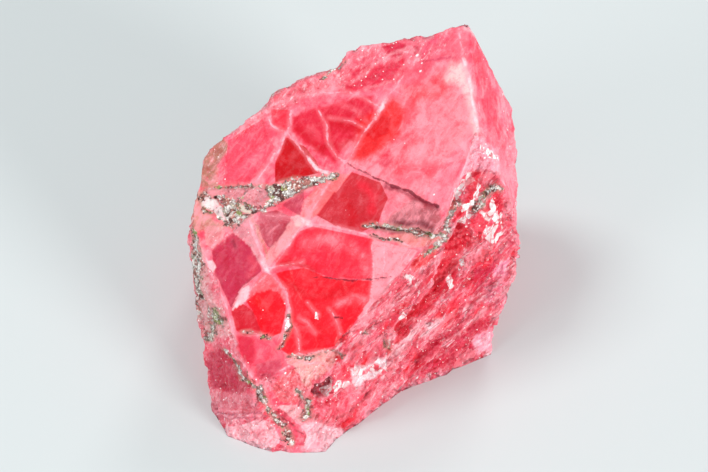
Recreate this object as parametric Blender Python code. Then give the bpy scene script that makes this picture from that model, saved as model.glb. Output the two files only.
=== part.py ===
"""A rough cleavage fragment of rhodonite, one solid stone lying on its flattest cleavage.

The stone is a block parted along flat faces, as the mineral itself parts. Ledges and nicks are then bitten out
of it, and each face is at last worked into the waves, steps and pits of its own kind of break.
"""

import math

import bmesh
import bpy
from mathutils import Matrix, Vector, noise
from mathutils.geometry import delaunay_2d_cdt

# Lengths are in millimetres until the finished stone is scaled to metres.
METRES_PER_MM = 0.001
BLOCK = 60.0
HEART = Vector((0.0, 0.0, 11.0))

# Bearing of a face: 0 looks at the viewer (-Y), 90 to the right (+X). Tilt: 90 looks straight up.
# Each is (bearing, tilt, distance from the heart).
FACES = {
    "front_cleavage": (-7, 52, 1.4),
    "left_flank": (-60, 16, 10.3),
    "stepped_side": (30, 15, 4.6),
    "flake_face": (38, 32, 5.1),
    "right_shoulder": (71, 30, 9.5),
    "right_side": (102, -4, 13.7),
    "right_undercut": (96, -20, 13.7),
    "upper_left_ledge": (-88, 66, 9.0),
    "left_end": (-102, 3, 12.5),
    "left_undercut": (-93, -12, 12.9),
    "back_left": (-130, 16, 12.4),
    "back_far_left": (-160, 15, 12.6),
    "back": (-174, 12, 12.7),
    "back_right": (112, 20, 15.35),
}

# The foot is a lump that stands out from the stepped side. Its back and end lie inside the stone.
FOOT = {
    "foot_wall": (43, 3, 6.7),
    "foot_top": (21, 42, 0.4),
    "foot_back": (-137, 0, -2.7),
    "foot_end": (90, 0, 8.0),
}

# The stone that lies outside every face of a bite is broken away.
BITES = {
    "base": ((0, -90, 11.0),),
    "toe": ((-24, 12, 11.2),),
    "lower_front": ((6, 30, 4.6),),
    "toe_step": ((-52, 18, 9.4), (-113, 54, -4.5)),
    "top_notch": ((-148, 44, 12.4), (-115, 26, 8.6)),
    "crown_notch": ((-131, 37, 11.9), (-107, 21, 10.4)),
    "apex_notch": ((-172, 47, 14.5), (-142, 40, 10.6)),
    "right_notch": ((80, -3, 11.9), (95, 11, 12.3)),
    "back_hollow": ((-174, 2, 11.6), (170, -45, 11.6)),
}

# How each kind of break leaves a face: depth of its waves, length of a wave, and depth of its fine grain.
CLEAVED = (0.12, 5.0, 0.03)
ROUGH = (0.45, 2.6, 0.16)
STEPPED = (0.25, 3.2, 0.10)
FLAT = (0.0, 1.0, 0.0)
KINDS = {
    "base": FLAT,
    "front_cleavage": CLEAVED,
    "right_shoulder": CLEAVED,
    "back_right": CLEAVED,
    "flake_face": STEPPED,
    "stepped_side": STEPPED,
    "back": STEPPED,
}
SAME_FACE = 0.9995

# Steps on the stepped faces run along this line, and each is a slope that ends in a small cliff.
STEP_RUN = Vector((0.72, 0.28, 0.63)).normalized()
STEP_PITCH = 1.9
STEP_DEPTH = 0.42
STEP_SWAY = 0.8

# A weathered seam at the toe and pits along it: (start, end, half width, depth).
GROOVES = {
    "toe_seam": (Vector((-7.1, -10.2, 5.2)), Vector((-5.2, -12.0, 1.8)), 0.9, 0.5),
    "seam_pit": (Vector((-6.9, -9.8, 5.1)), Vector((-6.7, -9.9, 4.5)), 1.2, 0.6),
    "dark_notch": (Vector((-1.8, -9.1, 4.0)), Vector((-0.7, -9.0, 4.6)), 1.0, 0.6),
}

POINT_SPACING = 0.69
RIM_CLEARANCE = 0.4
NOISE_PLACE = Vector((3.7, 1.9, 8.3))
CORNER_SOFTNESS = 0.12
ROUNDS = 12
LEAST_HEIGHT = 0.03
STONE_COLOUR = (0.72, 0.09, 0.16, 1.0)


def facing(bearing, tilt):
    b, t = math.radians(bearing), math.radians(tilt)
    return Vector((math.sin(b) * math.cos(t), -math.cos(b) * math.cos(t), math.sin(t)))


def parted_block(faces, keep_outside):
    """What a block keeps inside all the faces, or outside all of them."""
    bm = bmesh.new()
    bmesh.ops.create_cube(bm, size=BLOCK)
    for bearing, tilt, distance in faces:
        normal = facing(bearing, tilt)
        cut = bmesh.ops.bisect_plane(
            bm,
            geom=bm.verts[:] + bm.edges[:] + bm.faces[:],
            plane_co=HEART + normal * distance,
            plane_no=normal,
            clear_outer=not keep_outside,
            clear_inner=keep_outside,
        )
        rim = [e for e in cut["geom_cut"] if isinstance(e, bmesh.types.BMEdge)]
        bmesh.ops.contextual_create(bm, geom=rim)
    bmesh.ops.recalc_face_normals(bm, faces=bm.faces)
    return bm


def linked_object(name, bm):
    mesh = bpy.data.meshes.new(name)
    bm.to_mesh(mesh)
    bm.free()
    obj = bpy.data.objects.new(name, mesh)
    bpy.context.scene.collection.objects.link(obj)
    return obj


def combine(stone, other, operation):
    boolean = stone.modifiers.new(other.name, "BOOLEAN")
    boolean.operation = operation
    boolean.solver = "EXACT"
    boolean.object = other


def bitten_stone():
    """The parted block and its foot with every bite taken out, as a bmesh of flat polygons."""
    block = linked_object("block", parted_block(FACES.values(), keep_outside=False))
    foot = linked_object("foot", parted_block(FOOT.values(), keep_outside=False))
    combine(block, foot, "UNION")
    cutters = []
    for name, faces in BITES.items():
        cutters.append(linked_object(name, parted_block(faces, keep_outside=True)))
        combine(block, cutters[-1], "DIFFERENCE")
    graph = bpy.context.evaluated_depsgraph_get()
    bm = bmesh.new()
    bm.from_object(block, graph)
    for obj in (block, foot, *cutters):
        bpy.data.objects.remove(obj)
    bmesh.ops.remove_doubles(bm, verts=bm.verts, dist=0.002)
    bmesh.ops.dissolve_limit(bm, angle_limit=math.radians(0.3), verts=bm.verts, edges=bm.edges)
    return bm


def kind_of(normal):
    """The kind of break of the named face that looks this way, or rough."""
    for name, kind in KINDS.items():
        bearing, tilt, _ = FACES[name] if name in FACES else BITES[name][0]
        if facing(bearing, tilt).dot(normal) > SAME_FACE:
            return kind
    return ROUGH


def split_edge(a, b):
    """The points between two corners, the same whichever face asks for them."""
    parts = max(1, round((b - a).length / POINT_SPACING))
    return [a.lerp(b, i / parts) for i in range(1, parts)]


def inner_points(outline):
    """A triangular grid of points inside a 2-D outline, clear of its rim."""
    lowest = [min(p[i] for p in outline) for i in (0, 1)]
    highest = [max(p[i] for p in outline) for i in (0, 1)]
    row_height = POINT_SPACING * math.sqrt(0.75)
    found = []
    for row in range(int((highest[1] - lowest[1]) / row_height) + 1):
        y = lowest[1] + (row + 0.5) * row_height
        for column in range(int((highest[0] - lowest[0]) / POINT_SPACING) + 2):
            x = lowest[0] + (column + 0.5 * (row % 2)) * POINT_SPACING
            spot = Vector((x, y))
            if inside(spot, outline) and rim_distance(spot, outline) > RIM_CLEARANCE:
                found.append(spot)
    return found


def inside(spot, outline):
    crossings = 0
    for p, q in zip(outline, outline[1:] + outline[:1]):
        if (p.y > spot.y) != (q.y > spot.y):
            crossings += spot.x < p.x + (spot.y - p.y) * (q.x - p.x) / (q.y - p.y)
    return crossings % 2 == 1


def rim_distance(spot, outline):
    return min(segment_distance(spot, p, q) for p, q in zip(outline, outline[1:] + outline[:1]))


def segment_distance(spot, start, end):
    line = end - start
    along = min(1.0, max(0.0, (spot - start).dot(line) / max(line.length_squared, 1e-9)))
    return (spot - start - line * along).length


def remeshed(source):
    """The stone with every flat polygon divided into even triangles, and the faces that each point lies on."""
    points, touching, triangles = [], [], []
    index_of = {}

    def index(co):
        key = tuple(round(c, 4) for c in co)
        if key not in index_of:
            index_of[key] = len(points)
            points.append(co.copy())
            touching.append([])
        return index_of[key]

    for face in source.faces:
        normal = face.normal.copy()
        across = normal.orthogonal().normalized()
        up = normal.cross(across)
        rim = []
        for loop in face.loops:
            a, b = loop.vert, loop.link_loop_next.vert
            rim.append(a.co.copy())
            between = split_edge(a.co, b.co) if a.index < b.index else split_edge(b.co, a.co)[::-1]
            rim.extend(between)
        origin = rim[0]
        outline = [Vector(((p - origin).dot(across), (p - origin).dot(up))) for p in rim]
        spots = outline + inner_points(outline)
        edges = [(i, (i + 1) % len(rim)) for i in range(len(rim))]
        made = delaunay_2d_cdt(spots, edges, [], 1, 1e-6)
        solid = rim + [origin + across * p.x + up * p.y for p in spots[len(rim):]]
        names = [index(solid[origins[0]]) for origins in made[3]]
        for name in set(names):
            touching[name].append(normal)
        for corners in made[2]:
            triangles.append([names[c] for c in corners])
    return points, touching, triangles


def step_depth(place):
    """Sawtooth steps across the run of the streaks."""
    across = place - STEP_RUN * place.dot(STEP_RUN)
    sway = STEP_SWAY * noise.noise(place * 0.23 + NOISE_PLACE)
    rise = (across.dot(STEP_RUN.orthogonal().normalized()) + sway) / STEP_PITCH
    worn = 0.55 + 0.45 * noise.noise(place * 0.31 - NOISE_PLACE)
    return STEP_DEPTH * worn * (rise - math.floor(rise))


def groove_depth(place):
    deepest = 0.0
    for start, end, half_width, depth in GROOVES.values():
        reach = segment_distance(place, start, end) / half_width
        if reach < 1.0:
            deepest = max(deepest, depth * (1.0 - reach * reach))
    return deepest


def worked_depth(place, normal):
    """How far below its flat face the stone's surface lies."""
    kind = kind_of(normal)
    wave_depth, wave_length, grain_depth = kind
    if kind is FLAT:
        return 0.0
    wave = 0.5 + 0.5 * noise.fractal(place / wave_length + NOISE_PLACE, 0.9, 2.0, 3)
    facets = noise.voronoi(place / (wave_length * 0.8) - NOISE_PLACE)[0][0]
    grain = abs(noise.noise(place * 1.7 + NOISE_PLACE))
    depth = wave_depth * max(0.0, wave) * (0.5 + facets) + grain_depth * grain
    if kind is STEPPED:
        depth += step_depth(place)
    return depth + groove_depth(place)


def worked_point(place, normals):
    """The point moved as little as brings it to the worked depth of every face it lies on."""
    depths = [worked_depth(place, normal) for normal in normals]
    shift = Vector()
    for _ in range(ROUNDS):
        for normal, depth in zip(normals, depths):
            shift += normal * (-depth - shift.dot(normal)) * (1.0 - CORNER_SOFTNESS)
    moved = place + shift
    # The base stays flat right up to its rim, and nothing else reaches it.
    on_base = any(kind_of(normal) is FLAT for normal in normals)
    moved.z = 0.0 if on_base else max(moved.z, LEAST_HEIGHT)
    return moved


def worked_stone():
    source = bitten_stone()
    points, touching, triangles = remeshed(source)
    source.free()
    bm = bmesh.new()
    verts = [bm.verts.new(worked_point(place, normals)) for place, normals in zip(points, touching)]
    for corners in triangles:
        bm.faces.new([verts[c] for c in corners])
    bmesh.ops.recalc_face_normals(bm, faces=bm.faces)
    return bm


def stone_material():
    material = bpy.data.materials.new("rhodonite")
    material.use_nodes = True
    shader = material.node_tree.nodes["Principled BSDF"]
    shader.inputs["Base Color"].default_value = STONE_COLOUR
    shader.inputs["Roughness"].default_value = 0.35
    shader.inputs["Metallic"].default_value = 0.0
    return material


def main():
    for obj in list(bpy.data.objects):
        bpy.data.objects.remove(obj)
    stone = linked_object("rhodonite", worked_stone())
    corners = [Vector(corner) for corner in stone.bound_box]
    middle = (corners[0] + corners[6]) / 2
    to_base = Matrix.Translation((-middle.x, -middle.y, -min(c.z for c in corners)))
    stone.data.transform(Matrix.Scale(METRES_PER_MM, 4) @ to_base)
    stone.data.materials.append(stone_material())


main()
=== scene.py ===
import math

import bmesh
import bpy
import numpy as np
from mathutils import Matrix, Vector
from mathutils.geometry import delaunay_2d_cdt


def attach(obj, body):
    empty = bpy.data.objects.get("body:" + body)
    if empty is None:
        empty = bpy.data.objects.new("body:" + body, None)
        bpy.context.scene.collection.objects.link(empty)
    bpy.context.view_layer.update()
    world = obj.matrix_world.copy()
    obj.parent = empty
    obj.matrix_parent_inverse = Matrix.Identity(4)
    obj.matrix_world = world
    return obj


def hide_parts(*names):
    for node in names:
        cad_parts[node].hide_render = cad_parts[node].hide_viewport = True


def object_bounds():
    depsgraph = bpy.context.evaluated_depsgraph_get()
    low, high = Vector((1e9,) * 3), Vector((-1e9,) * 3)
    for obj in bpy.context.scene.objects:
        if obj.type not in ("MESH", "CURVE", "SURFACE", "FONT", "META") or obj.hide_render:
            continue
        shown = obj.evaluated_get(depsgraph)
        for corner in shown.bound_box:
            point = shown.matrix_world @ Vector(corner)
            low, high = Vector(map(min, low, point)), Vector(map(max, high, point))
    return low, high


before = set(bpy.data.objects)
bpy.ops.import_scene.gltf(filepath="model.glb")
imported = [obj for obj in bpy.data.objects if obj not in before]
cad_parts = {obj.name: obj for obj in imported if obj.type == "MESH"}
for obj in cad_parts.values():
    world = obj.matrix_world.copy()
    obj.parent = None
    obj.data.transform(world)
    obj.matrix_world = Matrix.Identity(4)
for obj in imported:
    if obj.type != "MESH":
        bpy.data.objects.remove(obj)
cad_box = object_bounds()

# Lengths of the stone are in millimetres, in the frame that its faces were measured in, whose origin is this
# far from the middle of the base.
MM = 0.001
CENTRE = np.array([0.102, 1.016, 0.0])
HEART = np.array([0.0, 0.0, 11.0])

# The camera looks down at the stone's heart, and this many photo pixels is its focal length.
ELEVATION = math.radians(48.0)
PHOTO_SIZE = (708, 472)
LENS_MM = 100.0
SENSOR_MM = 36.0
CLIP = (0.01, 20.0)
FOCAL_PX = LENS_MM / SENSOR_MM * PHOTO_SIZE[0]
MM_PER_PX = 0.075
DISTANCE = FOCAL_PX * MM_PER_PX
RIGHT = np.array([1.0, 0.0, 0.0])
UP = np.array([0.0, math.sin(ELEVATION), math.cos(ELEVATION)])
TOWARD = np.array([0.0, -math.cos(ELEVATION), math.sin(ELEVATION)])
EYE = HEART + TOWARD * DISTANCE

# The solid's triangles are divided this many times along each edge, and its base into triangles this long.
DIVISIONS = 5
BASE_SPACING = 0.5
NORMAL_ROUNDS = 5
NORMAL_TOLERANCE = math.cos(math.radians(24))
CREASE = math.cos(math.radians(13))
SMOOTHING_ROUNDS = 22
FACE_PULL = 0.6
CREASE_PULL = 0.35
SETTLING_ROUNDS = 2
EVENING_ROUNDS = 16
EVENING_TOLERANCE = math.cos(math.radians(30))

# Corners of the solid nearer than this many metres are one, and points lower than this many millimetres lie
# on the base. No length is divided by less than the smallest number here.
WELD = 1e-6
BASE_HEIGHT = 1e-4
TINY = 1e-12

# The distance to the nearest crease is told up to this many millimetres, and spreads in this many rounds.
FARTHEST = 3.0
GAP_ROUNDS = 8

# The way that the fibres of the stepped side run, the streaks of the smooth shoulder, the wisps inside the
# stone and the white splinters with their painted glints.
STEP_RUN = np.array([0.72, 0.28, 0.63])
SHOULDER_RUN = np.array([0.10, 0.62, 0.78])
WISP_RUN = np.array([0.55, 0.5, 0.67])
BLADE_RUN = np.array([0.3, 0.5, 0.8])

# Bearing and tilt of the faces that parted cleanly and of those that broke in steps. The rest broke roughly.
# A point belongs to the face wholly within the first of the angles, and not at all beyond the second.
SHOULDER = (71, 30)
CLEAVED_FACES = ((-7, 52), SHOULDER, (112, 20))
STEPPED_FACES = ((30, 15), (38, 32), (-174, 12))
FACE_ANGLES = (math.cos(math.radians(11)), math.cos(math.radians(24)))

# The cosine to the camera below which a point is hidden, and the one from which on it is wholly seen.
SEEN_RANGE = (-0.22, -0.02)

# How far the stepped and the rough breaks stand out of the solid at most, and how far inside its box the
# whole stone stays, in millimetres.
STEPPED_RISE = 0.12
ROUGH_RISE = 0.07
BOX_MARGIN = 0.01


def tone(red, green, blue):
    """A screen colour from 0 to 255 as linear light."""
    c = np.array([red, green, blue]) / 255.0
    return np.where(c <= 0.04045, c / 12.92, ((c + 0.055) / 1.055) ** 2.4)


CRIMSON = tone(204, 0, 20)
SCARLET = tone(246, 6, 28)
VERMILION = tone(236, 30, 30)
RED = tone(246, 42, 64)
ROSE = tone(242, 74, 98)
CORAL = tone(250, 124, 138)
PINK = tone(244, 108, 130)
BLUSH = tone(248, 152, 164)
MILK = tone(251, 214, 220)
PEACH = tone(230, 134, 130)
MAUVE = tone(188, 96, 106)
DUSK = tone(192, 42, 68)
ASH = tone(198, 156, 152)
TAN = tone(172, 118, 98)
STEEL = tone(182, 174, 158)
SILVER = tone(236, 232, 226)
OLIVE = tone(154, 166, 106)
DUST = tone(186, 128, 118)
MAROON = tone(118, 30, 44)
INK = tone(88, 60, 56)
# Colours of thin and thick veins, which also paint the highlight along the main ridge.
THIN_VEIN_AND_HIGHLIGHT = tone(250, 172, 186)
THICK_VEIN_AND_HIGHLIGHT = tone(252, 212, 218)
# White of the splinters, painted as glints.
SPLINTER_GLINT = tone(255, 240, 240)
PLATE_WHITE = tone(255, 242, 242)
# White of dust specks and of painted glints.
GLINT = tone(254, 236, 238)

# Shares of red, green and blue that darker clouds, wisps and fibres let through, and the stone as a whole.
CLOUD_SHADE = (0.88, 0.45, 0.52)
WISP_SHADE = (0.88, 0.4, 0.48)
FIBRE_SHADE = (0.86, 0.3, 0.38)
STONE_TINT = np.array([0.91, 1.0, 0.98])

# Hidden domains take the first of these tones up to the first share of them, and so on.
DOMAIN_SHARES = (0.18, 0.42, 0.62, 0.8)
DOMAIN_TONES = np.array([CRIMSON, RED, ROSE, DUSK, CORAL])

# Plates of the weathered seams take each tone from its share of them on, and ink below the first.
SEAM_TONES = ((0.07, STEEL), (0.27, OLIVE), (0.38, DUST), (0.53, MAUVE), (0.63, SILVER))

# Fields of colour on the side that the camera sees: tone, how much it covers, how soft its rim is, and its
# outline in pixels of the photograph. Later ones lie over earlier ones, and those with a sharp rim over the
# rest.
FIELDS = {
    "crown": (tone(236, 98, 118), 0.85, 10, (
        (342, 56), (388, 37), (445, 27), (461, 22), (468, 60), (420, 75), (350, 96), (325, 90))),
    "crown_red": (tone(206, 16, 58), 0.9, 2, ((382, 46), (398, 40), (406, 45), (401, 58), (390, 59))),
    "crown_spot": (tone(200, 24, 62), 0.8, 2, ((413, 46), (423, 45), (422, 56), (415, 57))),
    "crown_spot_left": (tone(206, 22, 52), 0.9, 2, ((335, 68), (348, 66), (347, 77), (336, 79))),
    "crown_flow": (tone(226, 40, 70), 0.9, 4, (
        (334, 84), (345, 72), (372, 65), (404, 60), (410, 72), (398, 82), (372, 90), (340, 93))),
    "mottled_rim": (tone(238, 104, 120), 0.85, 7, (
        (262, 104), (276, 85), (322, 71), (345, 62), (352, 80), (300, 100), (270, 120))),
    "left_rim": (BLUSH, 0.8, 5, ((232, 124), (262, 104), (262, 118), (252, 134), (236, 136))),
    "left_red": (ROSE, 0.95, 0, ((228, 140), (262, 118), (274, 148), (250, 181), (223, 182))),
    "left_depth": (RED, 0.9, 8, ((228, 156), (256, 140), (262, 166), (248, 180), (224, 180))),
    "small_red": (RED, 0.85, 0, ((270, 108), (289, 110), (290, 125), (284, 134), (272, 123))),
    "centre_depth": (tone(196, 0, 12), 0.97, 0, (
        (286, 137), (305, 146), (316, 160), (321, 172), (300, 177), (275, 182), (275, 163))),
    "upper_depth": (tone(222, 34, 60), 0.95, 4, (
        (292, 116), (318, 108), (345, 100), (375, 95), (372, 115), (335, 162), (318, 150), (290, 130))),
    "coral_field": (CORAL, 0.95, 9, ((398, 92), (458, 80), (470, 130), (432, 204), (345, 162), (372, 130))),
    "orange_glow": (VERMILION, 0.9, 9, (
        (360, 116), (392, 98), (408, 112), (398, 135), (372, 158), (350, 160))),
    "glow_depth": (tone(216, 10, 22), 0.85, 2, (
        (371, 121), (381, 114), (391, 119), (388, 134), (375, 140), (366, 135))),
    "orange_top": (VERMILION, 0.5, 12, ((400, 88), (447, 66), (450, 90), (412, 108))),
    "rose_corner": (tone(214, 40, 70), 0.7, 2, ((374, 164), (389, 149), (392, 161), (384, 168))),
    "bright_fan": (tone(246, 136, 148), 0.75, 8, (
        (446, 66), (466, 62), (474, 97), (479, 130), (462, 142), (452, 110))),
    "coral_wedge": (tone(250, 128, 146), 0.95, 0, (
        (470, 138), (462, 160), (451, 188), (448, 208), (438, 210), (424, 196), (440, 170), (456, 148))),
    "red_block": (tone(200, 36, 46), 0.92, 0, (
        (352, 172), (380, 182), (388, 198), (378, 222), (362, 232), (338, 228), (315, 214))),
    "block_side": (CORAL, 0.7, 5, ((388, 186), (412, 195), (405, 215), (380, 224))),
    "light_wedge": (tone(246, 110, 112), 0.9, 0, (
        (322, 183), (337, 174), (351, 174), (334, 193), (314, 217), (300, 218), (304, 200))),
    "dusky_field": (tone(188, 62, 84), 0.8, 0, ((282, 205), (304, 190), (304, 200), (300, 216), (286, 208))),
    "grey_band": (tone(178, 98, 104), 0.85, 5, (
        (372, 228), (398, 212), (415, 197), (440, 209), (446, 232), (420, 242))),
    "under_fissure": (PEACH, 0.85, 0, (
        (386, 235), (412, 233), (440, 236), (445, 242), (428, 247), (404, 248), (396, 243))),
    "big_field": (RED, 0.95, 0, (
        (312, 226), (340, 232), (373, 239), (372, 279), (330, 278), (304, 267), (276, 265), (275, 260),
        (300, 231))),
    "bright_field": (SCARLET, 0.9, 0, (
        (276, 273), (304, 268), (330, 279), (372, 281), (371, 300), (340, 344), (312, 353), (290, 356),
        (281, 350), (289, 310), (287, 294), (281, 284))),
    "scarlet_cap": (tone(250, 84, 92), 0.85, 0, (
        (263, 272), (271, 274), (286, 296), (282, 310), (262, 300), (248, 300), (250, 290))),
    "scarlet_left": (SCARLET, 0.95, 0, (
        (246, 302), (256, 293), (270, 289), (280, 293), (286, 306), (284, 318), (281, 333), (270, 337),
        (262, 333), (257, 318))),
    "scarlet_depth": (tone(206, 20, 36), 0.9, 0, (
        (231, 311), (242, 303), (253, 312), (259, 325), (262, 334), (244, 336), (236, 330))),
    "lower_left": (ROSE, 0.9, 4, (
        (236, 336), (262, 336), (282, 342), (288, 366), (262, 382), (250, 372), (238, 354))),
    "lower_left_depth": (tone(214, 34, 62), 0.8, 3, (
        (236, 334), (252, 338), (256, 356), (250, 366), (238, 352))),
    "lower_left_foot": (tone(196, 60, 84), 0.8, 3, (
        (256, 364), (282, 360), (284, 370), (268, 382), (256, 376))),
    "mauve_left": (tone(194, 40, 72), 0.92, 0, (
        (211, 250), (232, 232), (240, 238), (251, 249), (258, 262), (262, 270), (251, 280), (240, 289),
        (231, 309), (224, 292), (214, 276))),
    "mauve_plume": (tone(220, 84, 106), 0.7, 4, ((222, 246), (246, 246), (250, 256), (240, 266), (224, 262))),
    "lens": (tone(252, 196, 204), 0.95, 0, (
        (232, 310), (237, 298), (240, 290), (249, 285), (249, 293), (246, 301))),
    "pale_left": (tone(228, 144, 148), 0.85, 0, (
        (204, 228), (214, 225), (225, 230), (222, 240), (212, 248), (206, 244))),
    "pinnacle": (tone(214, 134, 144), 0.9, 0, (
        (232, 231), (241, 222), (251, 216), (256, 222), (262, 246), (264, 262), (258, 262), (250, 248),
        (240, 237))),
    "dusky_top": (tone(186, 76, 92), 0.85, 0, (
        (261, 212), (276, 210), (293, 217), (284, 232), (276, 244), (268, 248), (262, 238), (256, 222))),
    "pale_band": (tone(238, 152, 156), 0.85, 0, (
        (291, 219), (300, 217), (312, 222), (300, 229), (275, 259), (268, 268), (263, 262), (268, 250),
        (284, 232))),
    "grey_knot": (tone(232, 200, 196), 0.8, 0, ((290, 217), (297, 215), (313, 221), (304, 226), (296, 226))),
    "pale_corner": (BLUSH, 0.9, 0, (
        (373, 240), (390, 244), (418, 251), (395, 280), (372, 318), (357, 320), (371, 298))),
    "arch": (tone(244, 174, 168), 0.88, 0, (
        (286, 362), (300, 357), (324, 350), (341, 355), (337, 364), (326, 376), (312, 392), (300, 382),
        (294, 368))),
    "arch_light": (tone(250, 190, 186), 0.8, 2, ((304, 372), (326, 364), (324, 376), (312, 388), (304, 384))),
    "front_block": (tone(232, 104, 112), 0.85, 0, (
        (272, 390), (281, 376), (291, 370), (300, 376), (306, 390), (304, 402), (294, 404), (280, 402))),
    "front_white": (tone(248, 190, 194), 0.85, 2, (
        (278, 408), (298, 405), (305, 412), (300, 425), (290, 420))),
    "strip": (tone(234, 174, 176), 0.8, 5, (
        (190, 225), (203, 250), (224, 300), (232, 335), (208, 340), (194, 300), (187, 262))),
    "strip_rose": (PINK, 0.8, 4, ((203, 250), (212, 262), (226, 300), (232, 330), (222, 318), (210, 285))),
    "strip_plate": (tone(240, 178, 188), 0.8, 0, (
        (197, 300), (204, 302), (206, 318), (203, 332), (198, 322))),
    "strip_knob": (tone(252, 210, 212), 0.85, 0, (
        (206, 261), (212, 260), (215, 266), (212, 273), (208, 268))),
    "strip_low": (tone(196, 44, 74), 0.9, 4, (
        (216, 350), (240, 363), (252, 385), (240, 394), (214, 391), (204, 372), (206, 354))),
    "strip_foot": (tone(226, 122, 138), 0.85, 3, ((207, 392), (254, 394), (258, 408), (212, 408))),
    "toe_streaks": (tone(216, 104, 124), 0.9, 2, (
        (212, 409), (262, 411), (266, 418), (240, 426), (214, 424))),
    "toe": (tone(246, 180, 190), 0.9, 0, (
        (214, 426), (240, 427), (262, 419), (272, 425), (281, 440), (276, 450), (258, 454), (232, 446))),
    "red_wedge": (tone(226, 66, 92), 0.9, 0, (
        (270, 404), (280, 411), (302, 427), (307, 437), (304, 448), (296, 446), (286, 436), (276, 422))),
    "wedge_light": (tone(240, 130, 146), 0.8, 1.5, (
        (282, 424), (300, 436), (304, 444), (298, 444), (286, 432))),
    "pale_low": (tone(252, 194, 204), 0.95, 4, (
        (298, 426), (318, 421), (345, 432), (342, 446), (318, 458), (304, 450))),
    "front_red": (tone(242, 74, 98), 0.85, 3, (
        (315, 402), (330, 395), (346, 396), (344, 412), (330, 421), (318, 419))),
    "front_red_high": (tone(240, 56, 78), 0.85, 2, (
        (331, 379), (342, 368), (353, 362), (352, 384), (344, 383))),
    "ridge_pink": (tone(246, 118, 138), 0.8, 6, (
        (345, 348), (395, 282), (420, 253), (444, 244), (446, 262), (400, 310), (372, 340))),
    "corner_coral": (tone(236, 62, 66), 0.85, 2, (
        (412, 272), (416, 260), (428, 251), (440, 250), (438, 260), (426, 270))),
    "flake_red": (tone(216, 8, 42), 0.92, 3, (
        (450, 246), (462, 222), (474, 230), (475, 246), (462, 257), (456, 270), (446, 284), (436, 292),
        (440, 268))),
    "flake_red_high": (tone(220, 14, 44), 0.9, 2, (
        (470, 171), (481, 168), (480, 190), (474, 204), (462, 222), (458, 214), (472, 192))),
    "flake_red_right": (tone(232, 30, 62), 0.85, 3, (
        (480, 210), (492, 200), (500, 192), (506, 204), (496, 226), (480, 236), (474, 226))),
    "red_streak": (tone(224, 16, 50), 0.9, 5, (
        (394, 334), (425, 300), (446, 276), (462, 266), (456, 286), (430, 312), (408, 340))),
    "crimson_right": (tone(222, 36, 78), 0.85, 4, (
        (477, 270), (498, 264), (500, 280), (484, 298), (470, 296))),
    "lilac_right": (tone(246, 150, 180), 0.85, 3, ((498, 266), (514, 258), (512, 276), (502, 288))),
    "pale_streak": (BLUSH, 0.85, 4, (
        (350, 385), (390, 355), (428, 322), (441, 319), (438, 331), (415, 345), (355, 391))),
    "foot": (tone(255, 238, 242), 1.0, 2, (
        (349, 370), (372, 363), (387, 354), (386, 368), (372, 379), (352, 388))),
    "lower_red": (tone(224, 40, 76), 0.85, 5, (
        (412, 375), (430, 345), (480, 322), (498, 318), (492, 346), (470, 360), (430, 378))),
    "lilac": (tone(250, 184, 204), 0.85, 4, ((477, 336), (494, 326), (497, 336), (490, 352), (478, 358))),
    "right_rose": (tone(240, 112, 142), 0.85, 6, (
        (490, 286), (512, 280), (508, 300), (500, 312), (485, 304))),
    # Painted highlight along the main ridge.
    "ridge_highlight": (tone(255, 214, 212), 0.7, 6, (
        (446, 72), (452, 63), (465, 61), (473, 95), (480, 130), (475, 138), (467, 104), (458, 84),
        (447, 82))),
    "ridge_fan": (tone(250, 176, 194), 0.85, 3, (
        (476, 136), (486, 138), (500, 152), (500, 172), (480, 170), (464, 178), (456, 196), (466, 162))),
    # The notch is painted deep maroon: painted shade in its hollow.
    "notch": (tone(112, 14, 28), 0.95, 0, (
        (315, 394), (320, 386), (330, 379), (333, 385), (326, 394), (318, 398))),
    "shoulder_red": (ROSE, 0.85, 4, (
        (468, 30), (476, 36), (488, 75), (500, 120), (508, 160), (498, 150), (484, 112), (472, 70))),
    "apex": (tone(252, 182, 190), 0.8, 3, ((462, 16), (480, 18), (484, 42), (474, 36), (464, 30))),
    "shoulder_rim": (tone(242, 126, 144), 0.65, 3, (
        (505, 105), (512, 112), (526, 180), (520, 190), (508, 150))),
    "shoulder_pale": (tone(244, 132, 150), 0.7, 5, (
        (496, 150), (515, 148), (523, 180), (520, 226), (508, 220), (504, 180))),
    "rim_tan": (tone(206, 144, 130), 0.85, 3, (
        (194, 190), (208, 190), (206, 208), (216, 222), (228, 226), (208, 232), (190, 230))),
    "tan": (TAN, 0.9, 3, ((200, 152), (222, 136), (229, 150), (216, 166), (218, 186), (202, 186))),
    "granular": (tone(222, 132, 146), 0.9, 0, (
        (206, 189), (236, 188), (264, 187), (270, 198), (262, 207), (240, 202), (226, 196), (208, 196))),
    "silver_shard": (tone(244, 240, 240), 0.95, 0, (
        (201, 203), (206, 196), (217, 200), (227, 221), (221, 220), (212, 210), (204, 208))),
    "silver_shard_right": (tone(214, 224, 206), 0.9, 0, (
        (234, 202), (240, 203), (252, 211), (250, 214), (240, 211))),
}

# Fields that no grey grains cover, though they lie along a seam.
BARE_FIELDS = ("granular", "silver_shard", "silver_shard_right", "strip_plate", "strip_knob", "ridge_fan")

# Fields of the stepped breaks that are smooth enough to show their own colour.
CALM_FIELDS = ("arch", "front_block", "front_white", "front_red", "front_red_high", "notch", "pale_low",
               "red_wedge", "foot", "ridge_fan", "lilac", "lilac_right", "corner_coral", "flake_red",
               "flake_red_high", "flake_red_right")

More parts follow.
